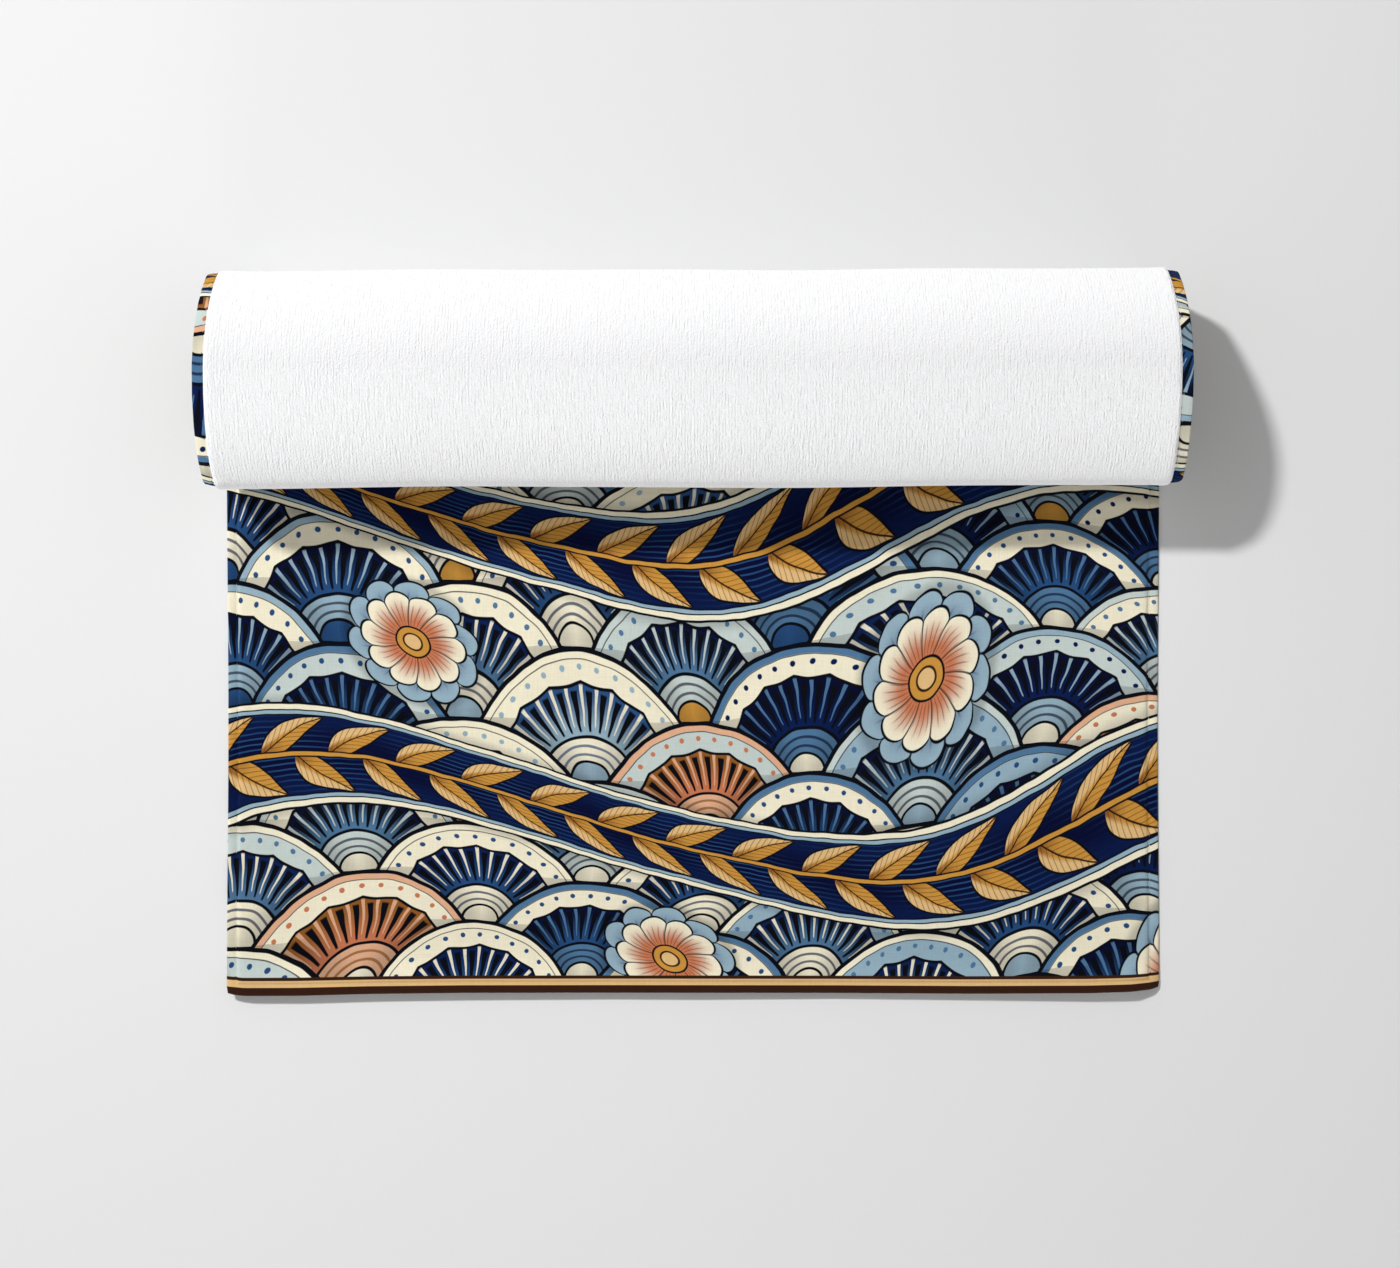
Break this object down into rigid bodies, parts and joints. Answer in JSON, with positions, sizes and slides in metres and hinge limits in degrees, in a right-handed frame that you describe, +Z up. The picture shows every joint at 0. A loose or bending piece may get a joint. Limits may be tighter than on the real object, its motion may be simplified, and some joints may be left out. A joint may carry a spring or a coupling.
{
  "type": "beach towel",
  "caption": "Beach towel of printed velour with a white terry back, lying flat from its front hem and loosely rolled up from its far end.",
  "frame": {"origin": "middle of the footprint, on the surface that the towel lies on", "axes": "+X across the towel, along the roll; +Y along the towel, from the front hem towards the roll; +Z up"},
  "size_m": [0.8026, 0.6107, 0.1416],
  "materials": {
    "towel_cloth": "cotton velour, printed on the face in navy, slate, cream, pale blue, gold and coral; matt",
    "terry_back": "undyed white cotton terry loops, matt"
  },
  "bodies": {
    "root": {"towel": "towel_cloth"}
  },
  "joints": []
}
